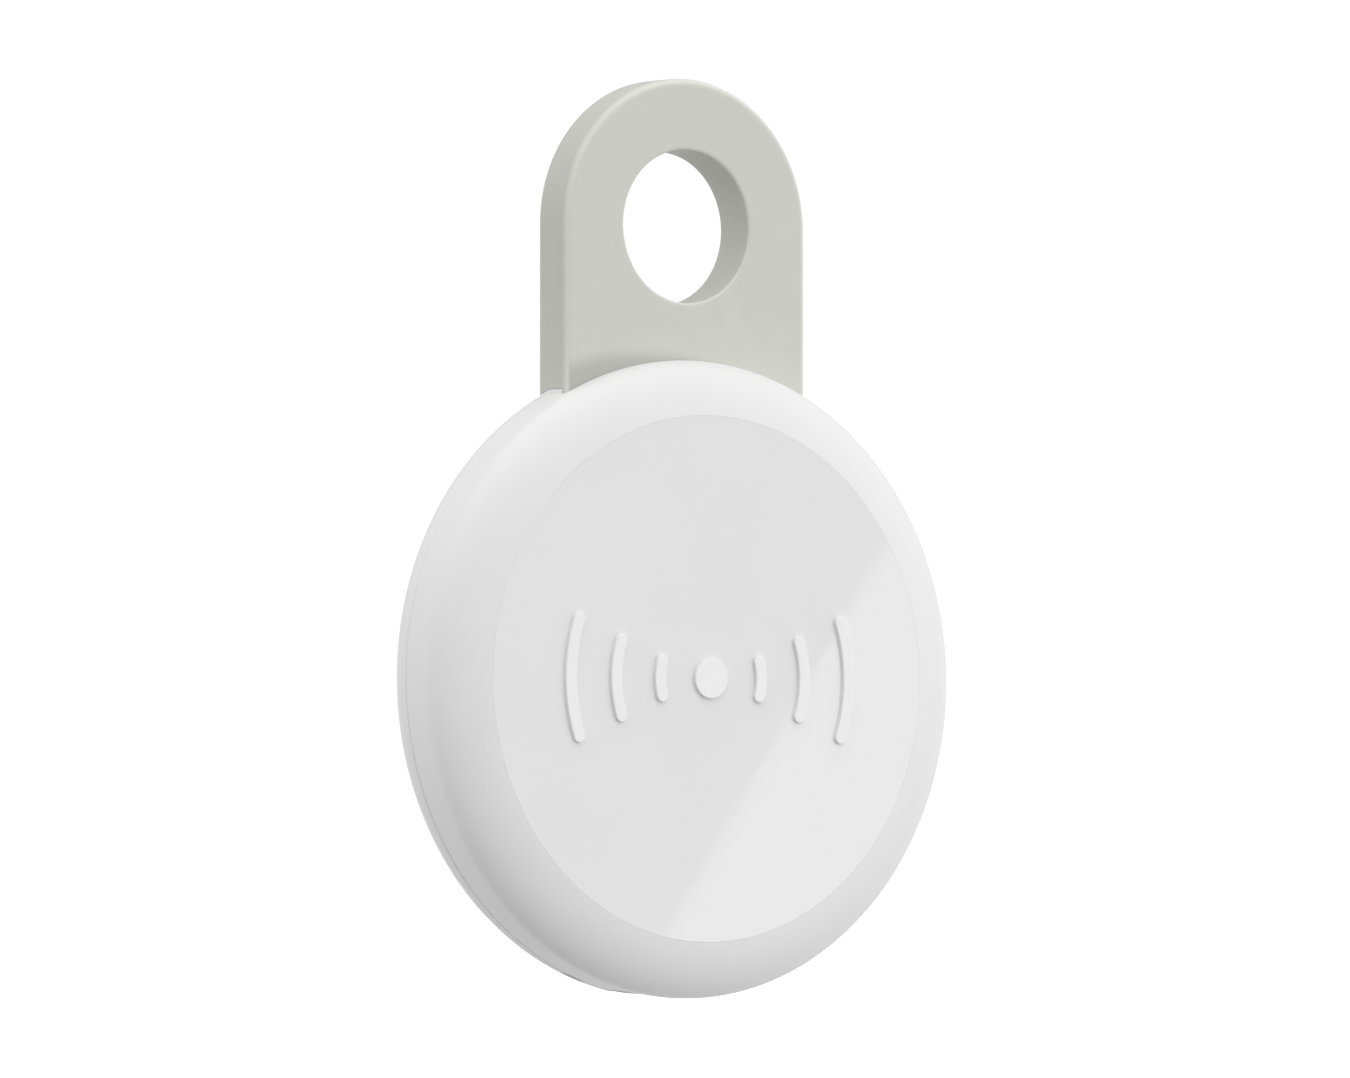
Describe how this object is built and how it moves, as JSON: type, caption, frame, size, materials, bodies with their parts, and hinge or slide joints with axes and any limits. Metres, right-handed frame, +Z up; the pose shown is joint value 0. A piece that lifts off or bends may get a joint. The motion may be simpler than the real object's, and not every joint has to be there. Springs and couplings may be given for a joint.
{
  "type": "bluetooth tracker tag",
  "caption": "Flat round tracker tag with a glossy face that presses in, a two-part satin case, a soft strap with a round hole, a charging socket and its electronics inside.",
  "frame": {"origin": "centre of the hole in the strap, in the middle of the strap's thickness, which is also the case's parting plane", "axes": "+Z up, from the case towards the loop; -Y the way the glossy face looks; +X to the right seen from the front"},
  "size_m": [0.037, 0.0076, 0.0534],
  "materials": {
    "case_white": "satin moulded plastic",
    "face_gloss": "high gloss",
    "strap_silicone": "smooth matt silicone, light grey-green",
    "seal_silicone": "matt",
    "anchor_nylon": "matt",
    "frame_plastic": "fine texture",
    "board_laminate": "solder mask over glass laminate",
    "chip_plastic": "fine matt",
    "tinned_steel": "satin plated",
    "white_ceramic": "matt fired",
    "tan_ceramic": "matt fired",
    "dark_ferrite": "matt",
    "light_resin": "clear resin",
    "cell_winding": "wound foil",
    "insulating_paper": "matt",
    "sounder_brass": "satin",
    "amber_film": "polyimide film",
    "vent_fabric": "fine woven membrane",
    "contact_gold": "gold plated"
  },
  "bodies": {
    "loop": {"strap_loop": "strap_silicone"},
    "case": {"front_shell": "case_white", "back_shell": "case_white", "face_gasket": "seal_silicone", "case_seal": "seal_silicone", "strap_root": "strap_silicone", "strap_anchor": "anchor_nylon", "cell_frame": "frame_plastic", "main_board": "board_laminate", "radio_chip": "chip_plastic", "charge_chip": "chip_plastic", "crystals": "tinned_steel", "chip_antenna": "white_ceramic", "passives": "tan_ceramic", "inductors": "dark_ferrite", "status_light": "light_resin", "switch_base": "chip_plastic", "switch_dome": "tinned_steel", "cell_can": "tinned_steel", "cell_cap": "tinned_steel", "cell_gasket": "seal_silicone", "cell_winding": "cell_winding", "cell_tabs": "tinned_steel", "cell_pad": "insulating_paper", "sounder_plate": "sounder_brass", "sounder_ceramic": "white_ceramic", "sounder_ring": "frame_plastic", "sounder_leads": "amber_film", "vent_mesh": "vent_fabric", "usb_shell": "tinned_steel", "usb_tongue": "chip_plastic", "usb_contacts": "contact_gold", "port_gasket": "seal_silicone"},
    "face": {"face_plate": "face_gloss"},
    "plunger": {"switch_plunger": "frame_plastic"}
  },
  "joints": [
    {"name": "loop_flex", "type": "hinge", "parent": "loop", "child": "case", "pos_m": [0, 0, -0.00625], "axis": [1, 0, 0], "range_deg": [-40, 40], "stiffness_Nm_per_rad": 0.02},
    {"name": "face_press", "type": "slide", "parent": "case", "child": "face", "axis": [0, 1, 0], "range_m": [0, 0.00025], "stiffness_N_per_m": 6000, "deforming": ["face_gasket"]},
    {"name": "plunger_travel", "type": "slide", "parent": "case", "child": "plunger", "axis": [0, 1, 0], "range_m": [0, 0.00025], "deforming": ["switch_dome"]}
  ],
  "couplings": [
    {"joint": "plunger_travel", "follows": "face_press", "ratio": 1}
  ]
}
